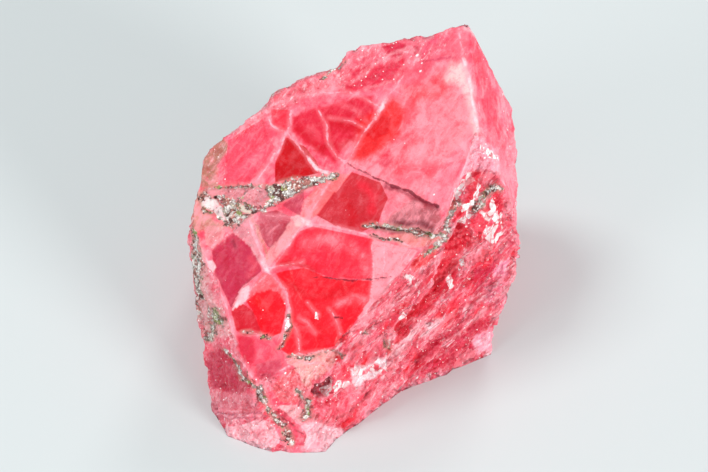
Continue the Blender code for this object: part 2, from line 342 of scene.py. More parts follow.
# White plates that stand out of the stepped breaks.
PLATES = (
    ((471, 174), (476, 180), (468, 191), (462, 193), (460, 188)),
    ((457, 187), (462, 197), (459, 208), (453, 210), (454, 200)),
    ((463, 206), (473, 200), (480, 184), (482, 192), (476, 204), (464, 214)),
    ((495, 201), (501, 207), (505, 216), (502, 225), (496, 222), (491, 214)),
    ((474, 210), (478, 214), (471, 223), (461, 225), (464, 218)),
    ((488, 226), (496, 230), (494, 240), (488, 236)),
    ((484, 142), (492, 148), (498, 160), (492, 158), (486, 152)),
    ((411, 275), (418, 277), (416, 283), (411, 281)),
    ((330, 383), (340, 381), (343, 388), (334, 391)),
    ((285, 319), (288, 314), (290, 325), (286, 331), (284, 326)),
    ((311, 314), (316, 313), (319, 321), (314, 321)),
    ((470, 254), (474, 256), (466, 268), (463, 266)),
    ((399, 320), (402, 313), (405, 318), (402, 326)),
    ((450, 282), (454, 278), (455, 288), (451, 291)),
)

# Broad strokes of colour over the fields: tone, cover, half width and route in pixels.
STROKES = {
    "top_rim": (BLUSH, 0.6, 3, ((345, 52), (358, 46), (371, 43), (378, 44))),
    "crown_light": (BLUSH, 0.5, 3, ((342, 66), (356, 54), (372, 50))),
    "crown_flow_light": (BLUSH, 0.5, 2.5, ((352, 84), (374, 64), (392, 54), (412, 48))),
    "crown_flow_low": (BLUSH, 0.4, 2, ((366, 88), (392, 82), (404, 66), (424, 50))),
    "crown_side": (BLUSH, 0.5, 2, ((395, 62), (404, 54), (416, 50))),
    "crown_dark": (tone(200, 50, 86), 0.6, 1.5, ((424, 60), (436, 61), (452, 58))),
    "crown_rose": (tone(236, 60, 100), 0.6, 4, ((424, 52), (430, 44), (446, 38))),
    "rim_light_left": (BLUSH, 0.6, 3, ((268, 106), (290, 100), (318, 91), (345, 85))),
    "rim_dark_left": (CRIMSON, 0.35, 3, ((275, 99), (300, 89), (330, 77))),
    "left_haze": (PINK, 0.4, 6, ((240, 172), (262, 150))),
    "coral_light": (BLUSH, 0.4, 9, ((398, 154), (436, 152), (460, 140))),
    "coral_warm": (RED, 0.45, 9, ((396, 172), (408, 140), (410, 104))),
    "coral_low": (ROSE, 0.4, 7, ((396, 182), (416, 176), (440, 168))),
    "below_knot": (RED, 0.4, 5, ((372, 160), (396, 150), (420, 140))),
    "depth_flow": (CRIMSON, 0.55, 6, ((298, 128), (312, 140), (322, 150))),
    "depth_flow_right": (CRIMSON, 0.6, 7, ((334, 124), (350, 128), (362, 132))),
    "depth_low": (CRIMSON, 0.5, 5, ((330, 145), (344, 148), (352, 140))),
    "depth_light": (CORAL, 0.3, 4, ((336, 100), (352, 108), (364, 118))),
    "field_shade_left": (CRIMSON, 0.5, 7, ((280, 264), (296, 262), (312, 270))),
    "field_light": (CORAL, 0.4, 8, ((305, 246), (320, 238), (340, 242))),
    "field_light_right": (CORAL, 0.35, 7, ((352, 250), (364, 258), (366, 272))),
    "bright_light": (CORAL, 0.4, 6, ((338, 304), (352, 298), (364, 300))),
    "bright_shade": (CRIMSON, 0.5, 8, ((286, 284), (306, 296), (350, 288))),
    "bright_depth": (CRIMSON, 0.4, 5, ((312, 322), (322, 330), (318, 344))),
    "scarlet_light": (VERMILION, 0.5, 6, ((258, 300), (268, 308))),
    "mauve_shade": (tone(130, 24, 48), 0.6, 3, ((231, 240), (233, 246))),
    "mauve_side": (tone(226, 70, 90), 0.6, 4, ((250, 258), (256, 268), (248, 276))),
    "strip_shade": (tone(128, 92, 72), 0.6, 2.5, ((193, 226), (191, 262), (195, 292), (200, 318))),
    "crack_shade": (tone(140, 30, 48), 0.75, 3.5, (
        (386, 186), (398, 190), (412, 197), (424, 202), (438, 209))),
    "fissure_shade": (tone(112, 42, 52), 0.85, 4.5, ((396, 224), (410, 225), (424, 224), (432, 228))),
    "fissure_shade_high": (tone(170, 84, 92), 0.6, 6, ((402, 216), (416, 212), (430, 214))),
    "pinnacle_rim": (tone(190, 126, 104), 0.8, 1.5, ((252, 216), (258, 228), (262, 244), (266, 262))),
    "block_shade": (CRIMSON, 0.6, 6, ((345, 200), (352, 210), (350, 222))),
    "block_light": (RED, 0.6, 6, ((362, 186), (374, 194), (372, 208))),
    "wall_light": (BLUSH, 0.6, 4, ((352, 348), (380, 324), (404, 298), (424, 276))),
    "wall_light_middle": (MILK, 0.6, 4, ((396, 352), (424, 331), (440, 322))),
    "wall_light_low": (BLUSH, 0.55, 3, ((430, 362), (458, 338), (486, 314), (508, 292))),
    "wall_dark_right": (tone(216, 40, 78), 0.7, 2, ((521, 226), (511, 246), (497, 260), (482, 276))),
    "wall_dark_low": (tone(206, 30, 66), 0.7, 2, ((352, 412), (380, 388), (402, 368))),
    "front_light": (BLUSH, 0.55, 3, ((330, 422), (356, 406), (384, 388))),
    "front_dark": (tone(220, 60, 84), 0.7, 2, ((336, 420), (362, 400), (388, 378))),
    "rim_light_right": (BLUSH, 0.7, 3, ((486, 357), (498, 345), (505, 318), (513, 286), (520, 262))),
    "toe_dark": (tone(160, 50, 80), 0.95, 1.2, ((214, 412), (236, 412), (262, 415))),
    "toe_dark_low": (tone(170, 60, 88), 0.95, 1.2, ((214, 418), (236, 418), (258, 420))),
    "wedge_dark": (tone(150, 30, 52), 0.95, 1.2, ((276, 416), (290, 427), (302, 436))),
}

# Pale healed cracks, and the painted highlight along the main ridge: half width and route, both in pixels of
# the photograph.
VEINS_AND_HIGHLIGHTS = {
    "long_vein": (0.7, ((430, 33), (412, 65), (397, 83), (380, 109), (366, 129), (348, 159), (334, 174))),
    "long_vein_knot": (2.0, ((386, 100), (378, 110), (374, 117))),
    "band_rim": (0.6, ((330, 180), (302, 225), (271, 269), (240, 300))),
    "top_arc": (0.7, ((320, 93), (350, 91), (380, 106))),
    "fork": (0.8, ((318, 111), (327, 125), (329, 143), (338, 157), (347, 162))),
    "left_net": (1.0, ((263, 106), (272, 125), (287, 134), (299, 145), (311, 161), (322, 171))),
    "left_net_end": (2.2, ((309, 158), (316, 168), (330, 173))),
    "left_branch": (0.9, ((287, 134), (279, 150), (272, 159), (258, 178))),
    "left_knot": (2.0, ((274, 154), (271, 160))),
    "left_top": (0.8, ((290, 111), (287, 134))),
    "upper_thread": (0.5, ((346, 92), (363, 97), (382, 107))),
    "upper_thread_low": (0.4, ((330, 118), (352, 122), (366, 129))),
    "middle_line": (0.9, (
        (265, 215), (295, 217), (309, 223), (341, 228), (370, 235), (398, 242), (420, 250))),
    "middle_line_knot": (2.6, ((300, 219), (311, 224))),
    "cross": (1.3, ((250, 218), (258, 248), (266, 267))),
    "cross_knot": (2.4, ((262, 262), (268, 270))),
    "cross_below": (0.7, ((266, 267), (285, 290), (290, 310), (289, 325))),
    "cross_side": (0.6, ((266, 267), (285, 266), (303, 262))),
    "corner_line": (0.7, ((373, 242), (371, 303))),
    "corner_line_left": (0.5, ((384, 243), (383, 282))),
    "strip_ridge": (0.7, (
        (203, 252), (211, 272), (224, 299), (230, 318), (234, 339), (236, 356), (250, 375), (258, 386))),
    "strip_thread": (0.6, ((207, 250), (222, 236), (229, 232))),
    # These two lines are the painted highlight along the main ridge and its top, drawn like veins.
    "main_ridge_highlight": (2.4, ((464, 58), (468, 76), (471.5, 97), (478, 129), (480, 138))),
    "ridge_top_highlight": (0.8, ((458, 27), (461, 44), (464, 58))),
    "ridge_foot": (1.0, ((478, 133), (470, 152), (462, 175), (450, 200))),
    "shoulder_edge": (0.5, ((482, 134), (488, 146), (495, 152), (500, 172), (510, 192))),
    "toe_line": (0.8, ((212, 409), (234, 410), (253, 411))),
    "toe_line_low": (0.7, ((214, 415), (236, 415), (260, 418))),
    "lower_trail": (0.8, ((242, 333), (256, 334), (272, 336))),
    "middle_trail": (1.4, ((289, 308), (288, 318), (286, 331))),
    "short_dash_a": (0.6, ((308, 303), (313, 311), (318, 316))),
    "short_dash_b": (0.6, ((329, 309), (335, 318), (341, 334))),
    "short_dash_c": (0.6, ((298, 317), (307, 324), (315, 333))),
    "arch_rim": (0.8, ((288, 364), (298, 354), (318, 351), (341, 354))),
    "arch_rim_low": (0.7, ((280, 372), (300, 362), (318, 364), (334, 372))),
    "low_thread": (0.6, ((300, 352), (298, 338), (294, 325))),
    "wedge_rim": (0.7, ((268, 404), (288, 416), (306, 432))),
}

# Dark open cracks: half width and route in pixels.
CRACKS = {
    "long_crack": (0.8, ((348, 163), (361, 171), (382, 180), (396, 188))),
    "long_crack_deep": (1.6, ((392, 186), (410, 191), (423, 200), (437, 207))),
    "middle_crack": (0.8, ((380, 227), (396, 230), (412, 231), (430, 233))),
    "field_crack": (0.6, ((311, 277), (332, 279), (350, 281), (368, 279), (391, 277))),
    "small_crack": (0.5, ((334, 317), (342, 318))),
}

# Fields that lie lower than the stone round them, and how far, in millimetres.
HOLLOWS = {
    "pinnacle": -0.06,
    "dusky_top": 0.12,
    "scarlet_depth": 0.05,
    "big_field": 0.10,
    "scarlet_left": 0.07,
    "centre_depth": 0.08,
    "left_red": 0.08,
    "red_block": 0.07,
    "mauve_left": 0.10,
    "coral_wedge": 0.08,
    "lens": -0.08,
    "arch": 0.32,
    "front_block": 0.12,
    "notch": 0.45,
    "toe_streaks": 0.14,
    "red_wedge": 0.22,
    "strip_low": 0.10,
    "flake_red": 0.25,
    "shoulder_pale": 0.10,
    "foot": -0.12,
    "silver_shard": -0.05,
}

# Corners that are worn round: place and reach in pixels, and depth in millimetres.
BLUNTED = (((352, 44), 10, 0.55), ((468, 19), 8, 0.32), ((199, 300), 6, 0.1))

# Patches of the clean faces that are grainy all the same, and how grainy.
PATCHES = (
    (0.85, ((262, 108), (276, 84), (322, 70), (345, 60), (350, 78), (322, 92), (296, 104), (268, 120))),
    (0.85, ((230, 126), (262, 102), (266, 120), (254, 136), (232, 140))),
    (0.65, ((340, 64), (352, 44), (388, 34), (452, 22), (450, 52), (420, 62), (396, 84), (336, 92))),
    (0.5, ((200, 150), (222, 136), (230, 152), (224, 184), (202, 184))),
    (0.6, ((262, 384), (286, 366), (300, 352), (342, 350), (340, 372), (320, 398), (304, 420), (276, 408))),
    (0.4, ((196, 226), (226, 220), (262, 212), (262, 232), (214, 252), (203, 250))),
    (0.7, ((474, 140), (490, 138), (502, 160), (494, 176), (470, 172))),
    (0.9, FIELDS["granular"][-1]),
    (0.5, ((505, 112), (512, 112), (526, 180), (522, 215), (514, 190), (506, 150))),
)

# Furrows in the stepped side: half width in pixels, depth in millimetres, and route in pixels.
GROOVES = {
    "high_furrow": (7.0, 0.45, ((398, 332), (425, 303), (455, 268), (486, 252))),
    "low_furrow": (8.0, 0.40, ((408, 374), (440, 340), (480, 300), (516, 262))),
    "short_furrow": (5.0, 0.30, ((352, 352), (384, 322), (410, 290))),
    "foot_furrow": (5.0, 0.30, ((430, 378), (462, 352), (496, 330))),
    "flake_furrow": (5.0, 0.35, ((450, 250), (462, 226), (480, 204))),
    "right_furrow": (5.0, 0.25, ((470, 330), (495, 305), (512, 290))),
}

# The line across the low steps on the cleaved faces, their spacing and their height.
CLEAVAGE_STEPS = (((0.9, 0.35, 0.2), 3.1, 0.09), ((-0.35, 0.8, 0.5), 4.3, 0.07))

# Grey, metallic grains along weathered seams: half width and route in pixels.
SEAMS = {
    "upper_seam": (2.6, ((335, 173), (322, 177), (300, 183))),
    "upper_seam_left": (4.2, ((300, 184), (280, 189), (258, 189))),
    "upper_seam_end": (2.6, ((262, 187), (236, 187), (206, 192))),
    "upper_seam_under": (2.2, ((286, 193), (276, 200), (262, 206))),
    "chunk": (7.0, ((206, 196), (212, 206), (226, 214))),
    "chunk_right": (5.0, ((222, 204), (244, 206), (262, 208))),
    "chunk_foot": (3.0, ((222, 218), (232, 223))),
    "left_high": (3.4, ((193, 232), (195, 262), (198, 285), (203, 300))),
    "left_middle": (4.4, ((206, 336), (212, 326), (214, 312), (220, 322))),
    "left_low": (2.2, ((222, 352), (234, 364), (248, 382), (256, 388))),
    "left_rim": (2.0, ((190, 250), (194, 290), (200, 330))),
    "pit": (5.4, ((260, 391), (263, 399))),
    "toe_seam": (2.6, ((264, 402), (272, 415), (281, 430), (292, 446))),
    "middle_seam": (2.4, ((364, 222), (395, 228), (420, 235), (444, 235))),
    "middle_seam_low": (1.6, ((372, 236), (388, 240), (402, 242))),
    "corner_seam": (3.2, ((446, 240), (451, 224), (457, 209), (462, 204))),
    "corner_seam_low": (2.0, ((446, 238), (436, 248), (424, 256))),
    "shoulder_grains": (4.2, ((488, 195), (493, 192), (498, 189))),
    "shoulder_grains_low": (3.6, ((478, 207), (486, 203))),
    "front_spot": (3.4, ((303, 418), (312, 416), (313, 406))),
    "front_spot_high": (2.2, ((302, 390), (308, 402))),
    "arch_line": (1.1, ((290, 360), (310, 355), (326, 351), (336, 353), (342, 357))),
    "grain_left": (2.6, ((366, 335), (369, 337))),
    "grain_right": (2.2, ((388, 345), (390, 347))),
    "trail_left": (1.2, ((244, 333), (252, 334))),
    "trail_right": (1.5, ((262, 334), (270, 335))),
    "trail_down": (1.5, ((288, 312), (289, 328), (279, 348))),
    "rim_grains": (1.1, ((322, 75), (334, 70), (344, 61))),
    "rim_grains_low": (0.9, ((262, 102), (272, 92), (284, 84))),
}

# Stretches of those seams that are wider than a line.
SEAM_AREAS = {
    "upper_wedge": (
        (278, 183), (292, 179), (320, 175), (337, 170), (337, 177), (312, 185), (300, 192), (284, 200),
        (262, 208), (262, 184)),
    "chunk_area": (
        (200, 192), (206, 187), (262, 184), (263, 209), (250, 216), (236, 226), (226, 224), (212, 212),
        (203, 212)),
    "left_area": ((190, 240), (198, 248), (202, 290), (212, 318), (206, 326), (194, 300), (189, 268)),
}

# Tufts of splinters, whose white is painted glints: half width and route in pixels.
FLAKES_AND_GLINTS = {
    "tall_tuft": (3.5, ((471, 178), (463, 198), (456, 218))),
    "low_tuft": (3.5, ((490, 212), (498, 222), (490, 236))),
    "foot_tuft": (3.0, ((352, 372), (380, 368))),
    "step_tuft": (3.0, ((407, 278), (414, 285))),
    "notch_tuft": (3.5, ((325, 390), (340, 384))),
}

# The floor, the air's light and the soft lights: place in metres, size in metres, watts and colour.
FLOOR_COLOUR = (0.67, 0.71, 0.71, 1.0)
FLOOR_ROUGHNESS = 0.6
FLOOR_HALF = 3.0
AIR_COLOUR = (0.94, 0.97, 1.0, 1.0)
AIR_STRENGTH = 0.46
WHITE = (1.0, 1.0, 1.0)
LIGHTS = {
    "key": ((-0.22, 0.10, 0.40), 0.16, 0.77, (0.95, 1.0, 1.0)),
    "back": ((0.14, 0.40, 0.30), 0.14, 0.5, WHITE),
    "front": ((0.38, -0.36, 0.14), 0.22, 2.85, WHITE),
    "left": ((-0.40, -0.30, 0.12), 0.22, 1.0, WHITE),
}
LIGHT_AIM = Vector((0.0, 0.0, 0.01))

BOTH_WAYS = ((0, 1), (1, 0))


def unit(v):
    return v / np.linalg.norm(v)


def units(rows):
    return rows / np.linalg.norm(rows, axis=1)[:, None]


def gathered(index, rows, count):
    """The sum of the rows that share an index."""
    return np.stack([np.bincount(index, column, count) for column in rows.T], axis=1)


def facing(bearing, tilt):
    b, t = math.radians(bearing), math.radians(tilt)
    return np.array([math.sin(b) * math.cos(t), -math.cos(b) * math.cos(t), math.sin(t)])


def smoothstep(low, high, x):
    t = np.clip((x - low) / (high - low), 0.0, 1.0)
    return t * t * (3.0 - 2.0 * t)


def mix(a, b, factor):
    return a + (b - a) * factor[:, None]


# Noise in space

def hashed(cell, seed):
    x, y, z = (cell[:, i].astype(np.int64) for i in range(3))
    h = (x * 73856093) ^ (y * 19349663) ^ (z * 83492791) ^ (seed * 265443576)
    h = (h & 0xFFFFFFFF).astype(np.uint64)
    h = ((h ^ (h >> np.uint64(13))) * np.uint64(1274126177)) & np.uint64(0xFFFFFFFF)
    h = ((h ^ (h >> np.uint64(15))) * np.uint64(2246822519)) & np.uint64(0xFFFFFFFF)
    return ((h ^ (h >> np.uint64(16))) & np.uint64(0xFFFF)).astype(float) / 65535.0


def noise(p, seed=0):
    """Smooth noise between -1 and 1 with features about one unit across."""
    base = np.floor(p)
    f = p - base
    f = f * f * f * (f * (f * 6.0 - 15.0) + 10.0)
    total = np.zeros(len(p))
    for dx in (0, 1):
        for dy in (0, 1):
            for dz in (0, 1):
                weight = np.ones(len(p))
                for axis, d in enumerate((dx, dy, dz)):
                    weight *= f[:, axis] if d else 1.0 - f[:, axis]
                total += weight * hashed(base + (dx, dy, dz), seed)
    return total * 2.0 - 1.0


def noises(p, seeds):
    return np.stack([noise(p, seed) for seed in seeds], axis=1)


def fractal(p, octaves=3, seed=0):
    total, size, scale = np.zeros(len(p)), 1.0, 0.0
    for octave in range(octaves):
        total += noise(p * 2.03 ** octave, seed + octave) * size
        scale += size
        size *= 0.55
    return total / scale * 1.5


def cells(p, seed=0):
    """Nearest and second nearest distance to a scatter of points, and a random number for the nearest."""
    base = np.floor(p)
    first = np.full(len(p), 9.0)
    second = np.full(len(p), 9.0)
    owner = np.zeros(len(p))
    for dx in (-1, 0, 1):
        for dy in (-1, 0, 1):
            for dz in (-1, 0, 1):
                cell = base + (dx, dy, dz)
                spot = cell + np.stack([hashed(cell, seed + k) for k in (11, 23, 37)], axis=1)
                gap = np.linalg.norm(spot - p, axis=1)
                nearer = gap < first
                second = np.where(nearer, first, np.minimum(second, gap))
                owner = np.where(nearer, hashed(cell, seed + 51), owner)
                first = np.where(nearer, gap, first)
    return first, second, owner


def stretched(p, run, across, along):
    """Space drawn out along a line, so that noise in it makes streaks."""
    run = unit(run)
    length = (p @ run)[:, None] * run
    return (p - length) / across + length / along


def tooth(x, sharpness=0.85):
    """A slope from 0 to 1 that ends in a short cliff."""
    t = x - np.floor(x)
    return np.where(t < sharpness, t / sharpness, (1.0 - t) / (1.0 - sharpness))


# The photograph's frame

def pixels(p):
    away = p - EYE
    depth = -(away @ TOWARD)
    x = PHOTO_SIZE[0] / 2 + FOCAL_PX * (away @ RIGHT) / depth
    y = PHOTO_SIZE[1] / 2 - FOCAL_PX * (away @ UP) / depth
    return np.stack([x, y], axis=1)


def segment_gap(spots, a, b):
    a, b = np.array(a, float), np.array(b, float)
    t = np.clip((spots - a) @ (b - a) / max((b - a) @ (b - a), TINY), 0.0, 1.0)
    return np.linalg.norm(spots - a - t[:, None] * (b - a), axis=1)


def line_gap(spots, route):
    return np.min([segment_gap(spots, a, b) for a, b in zip(route, route[1:])], axis=0)


def depth_inside(spots, outline):
    """How far inside a closed outline each spot lies, negative outside it."""
    crossings = np.zeros(len(spots), int)
    for a, b in zip(outline, outline[1:] + outline[:1]):
        if a[1] != b[1]:
            level = (a[1] > spots[:, 1]) != (b[1] > spots[:, 1])
            crossings += level & (spots[:, 0] < a[0] + (spots[:, 1] - a[1]) * (b[0] - a[0]) / (b[1] - a[1]))
    return line_gap(spots, outline + outline[:1]) * np.where(crossings % 2, 1.0, -1.0)


def reach(spots, lines):
    """How far within the nearest of some lines' half widths each spot lies, in pixels."""
    return np.max([half_width - line_gap(spots, route) for half_width, route in lines.values()], axis=0)


# The stone's mesh

class Surface:
    """Points and triangles, with the edges between them."""

    def __init__(self, points, triangles):
        self.points, self.triangles = points, triangles
        sides = triangles[:, [0, 1, 1, 2, 2, 0]].reshape(-1, 2)
        self.edges, self.side_edge = np.unique(np.sort(sides, axis=1), axis=0, return_inverse=True)
        self.side_edge = self.side_edge.reshape(-1, 3)

    def face_normals(self):
        a, b, c = (self.points[self.triangles[:, i]] for i in range(3))
        return np.cross(b - a, c - a)

    def point_normals(self):
        normals = self.face_normals()
        total = np.zeros((len(self.points), 3))
        for i in range(3):
            total += gathered(self.triangles[:, i], normals, len(self.points))
        return total / np.maximum(np.linalg.norm(total, axis=1), TINY)[:, None]

    def edge_faces(self):
        """The two triangles of each edge."""
        order = np.argsort(self.side_edge.reshape(-1), kind="stable") // 3
        return order.reshape(-1, 2)


def solid_surface():
    """The solid as welded triangles, in millimetres."""
    bm = bmesh.new()
    bm.from_mesh(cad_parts["rhodonite"].data)
    bmesh.ops.remove_doubles(bm, verts=bm.verts, dist=WELD)
    bmesh.ops.triangulate(bm, faces=bm.faces)
    bm.verts.index_update()
    points = np.array([v.co for v in bm.verts]) / MM + CENTRE
    triangles = np.array([[v.index for v in f.verts] for f in bm.faces])
    bm.free()
    return Surface(points, triangles)


def crease_edges(surface):
    """Which edges part two faces of the stone, told from the faces' evened normals."""
    normals = surface.face_normals()
    area = np.linalg.norm(normals, axis=1)
    flat = normals / area[:, None]
    pairs = surface.edge_faces()
    for _ in range(NORMAL_ROUNDS):
        total = flat * area[:, None]
        for a, b in BOTH_WAYS:
            alike = smoothstep(NORMAL_TOLERANCE, 1.0, (flat[pairs[:, a]] * flat[pairs[:, b]]).sum(axis=1))
            share = flat[pairs[:, b]] * (alike * area[pairs[:, b]])[:, None]
            total += gathered(pairs[:, a], share, len(flat))
        flat = units(total)
    return (flat[pairs[:, 0]] * flat[pairs[:, 1]]).sum(axis=1) < CREASE


def divided(surface, creases):
    """Each triangle parted into even smaller ones, with the crease edges among the new edges."""
    n = DIVISIONS
    corners, edges = len(surface.points), len(surface.edges)
    weights = np.arange(1, n) / n
    a, b = surface.points[surface.edges[:, 0]], surface.points[surface.edges[:, 1]]
    on_edges = a[:, None] * (1 - weights)[None, :, None] + b[:, None] * weights[None, :, None]
    inner = [(i, j, n - i - j) for i in range(1, n) for j in range(1, n - i)]
    p = surface.points[surface.triangles]
    shares = np.array(inner) / n
    on_faces = np.einsum("ki,fid->fkd", shares, p)
    points = np.concatenate([surface.points, on_edges.reshape(-1, 3), on_faces.reshape(-1, 3)])
    index = {(n, 0, 0): surface.triangles[:, 0],
             (0, n, 0): surface.triangles[:, 1],
             (0, 0, n): surface.triangles[:, 2]}
    face = np.arange(len(surface.triangles))
    for side, (first, second) in enumerate(((0, 1), (1, 2), (2, 0))):
        edge = surface.side_edge[:, side]
        forward = surface.triangles[:, first] == surface.edges[edge, 0]
        for step in range(1, n):
            place = [0, 0, 0]
            place[first], place[second] = n - step, step
            offset = np.where(forward, step - 1, n - step - 1)
            index[tuple(place)] = corners + edge * (n - 1) + offset
    for k, place in enumerate(inner):
        index[place] = corners + edges * (n - 1) + face * len(inner) + k
    triangles = []
    for i in range(n):
        for j in range(n - i):
            k = n - 1 - i - j
            triangles.append([index[i + 1, j, k], index[i, j + 1, k], index[i, j, k + 1]])
            if k > 0:
                triangles.append([index[i, j + 1, k], index[i + 1, j, k], index[i + 1, j + 1, k - 1]])
    triangles = np.concatenate([np.stack(t, axis=1) for t in triangles])
    fine = Surface(points, triangles)
    on_crease = np.zeros(len(points), bool)
    crease = np.flatnonzero(creases)
    on_crease[surface.edges[crease].reshape(-1)] = True
    on_crease[(corners + crease[:, None] * (n - 1) + np.arange(n - 1)).reshape(-1)] = True
    chain = np.concatenate([surface.edges[crease, :1],
                            corners + crease[:, None] * (n - 1) + np.arange(n - 1),
                            surface.edges[crease, 1:]], axis=1)
    along = np.stack([chain[:, :-1], chain[:, 1:]], axis=2).reshape(-1, 2)
    return fine, on_crease, along


def with_fine_base(fine, on_crease, along):
    """The base's few long triangles replaced by small even ones."""
    low = fine.points[:, 2] < BASE_HEIGHT
    is_base = low[fine.triangles].all(axis=1)
    sides = fine.triangles[is_base][:, [0, 1, 1, 2, 2, 0]].reshape(-1, 2)
    key = np.sort(sides, axis=1)
    _, back, count = np.unique(key, axis=0, return_inverse=True, return_counts=True)
    rim = sides[count[back.reshape(-1)] == 1]
    names = np.unique(rim)
    local = {name: i for i, name in enumerate(names)}
    flat = fine.points[names][:, :2]
    spots = [Vector(p) for p in flat]
    edges = [(local[a], local[b]) for a, b in rim]
    lowest, highest = flat.min(axis=0), flat.max(axis=0)
    row_height = BASE_SPACING * math.sqrt(0.75)
    rows = np.arange(int((highest[1] - lowest[1]) / row_height) + 1)
    columns = np.arange(int((highest[0] - lowest[0]) / BASE_SPACING) + 2)
    grid = np.array([(lowest[0] + (c + 0.5 * (r % 2)) * BASE_SPACING, lowest[1] + (r + 0.5) * row_height)
                     for r in rows for c in columns])
    gap = np.min(np.linalg.norm(grid[:, None] - flat[None], axis=2), axis=1)
    spots += [Vector(p) for p in grid[gap > BASE_SPACING * 0.6]]
    made = delaunay_2d_cdt(spots, edges, [], 1, 1e-7)
    extra = []
    index = []
    for place, origins in zip(made[0], made[3]):
        known = [o for o in origins if o < len(names)]
        if known:
            index.append(names[known[0]])
        else:
            index.append(len(fine.points) + len(extra))
            extra.append((place.x, place.y, 0.0))
    new = np.array([[index[c] for c in face] for face in made[2]])
    new = new[:, ::-1]
    points = np.concatenate([fine.points, np.array(extra)])
    kept = np.concatenate([fine.triangles[~is_base], new])
    used = np.unique(kept)
    rename = np.full(len(points), -1)
    rename[used] = np.arange(len(used))
    creased = np.concatenate([on_crease, np.zeros(len(extra), bool)])
    along = rename[along]
    return Surface(points[used], rename[kept]), creased[used], along[(along >= 0).all(axis=1)]


def neighbour_mean(points, edges):
    total = np.zeros_like(points)
    count = np.bincount(edges.reshape(-1), minlength=len(points)).astype(float)
    for a, b in BOTH_WAYS:
        total += gathered(edges[:, a], points[edges[:, b]], len(points))
    return total / np.maximum(count, 1.0)[:, None], count


def evened(surface, on_crease, along):
    """Facets rounded into each other, while creases stay sharp and the base stays flat."""
    surface.on_crease = on_crease
    base = surface.points[:, 2] < BASE_HEIGHT
    for _ in range(SMOOTHING_ROUNDS):
        mean, _ = neighbour_mean(surface.points, surface.edges)
        ridge, count = neighbour_mean(surface.points, along)
        target = np.where(on_crease[:, None], ridge, mean)
        target[on_crease & (count != 2)] = surface.points[on_crease & (count != 2)]
        pull = np.where(on_crease, CREASE_PULL, FACE_PULL)[:, None]
        moved = surface.points + (target - surface.points) * pull
        moved[base] = surface.points[base]
        surface.points = moved
    return surface


def edge_gap(surface):
    """About how far each point is from the nearest crease, in millimetres."""
    ends = surface.points[surface.edges]
    length = np.linalg.norm(ends[:, 0] - ends[:, 1], axis=1)
    gap = np.where(surface.on_crease, 0.0, FARTHEST)
    for _ in range(GAP_ROUNDS):
        for a, b in BOTH_WAYS:
            np.minimum.at(gap, surface.edges[:, a], gap[surface.edges[:, b]] + length)
    return gap


# What each point of the surface is

def alignment(normals, faces):
    """How nearly a point looks the way one of the faces does."""
    best = np.max([normals @ facing(*face) for face in faces], axis=0)
    whole, none = FACE_ANGLES
    return smoothstep(none, whole, best)


def own_faces(surface):
    """Each point's normal, evened only with points that look nearly the same way."""
    normals = surface.point_normals()
    ends = surface.edges
    for _ in range(EVENING_ROUNDS):
        likeness = (normals[ends[:, 0]] * normals[ends[:, 1]]).sum(axis=1)
        alike = smoothstep(EVENING_TOLERANCE, 1.0, likeness)[:, None]
        total = normals.copy()
        for a, b in BOTH_WAYS:
            total += gathered(ends[:, a], normals[ends[:, b]] * alike, len(normals))
        normals = units(total)
    return normals


def settled(surface, values):
    """The values, with those on creases taken from the faces beside them."""
    for _ in range(SETTLING_ROUNDS):
        total, count = np.zeros(len(values)), np.zeros(len(values))
        for a, b in BOTH_WAYS:
            pairs = surface.edges[~surface.on_crease[surface.edges[:, b]]]
            total += np.bincount(pairs[:, a], values[pairs[:, b]], len(values))
            count += np.bincount(pairs[:, a], minlength=len(values))
        beside = np.where(count > 0, total / np.maximum(count, 1), values)
        values = np.where(surface.on_crease, beside, values)
    return values


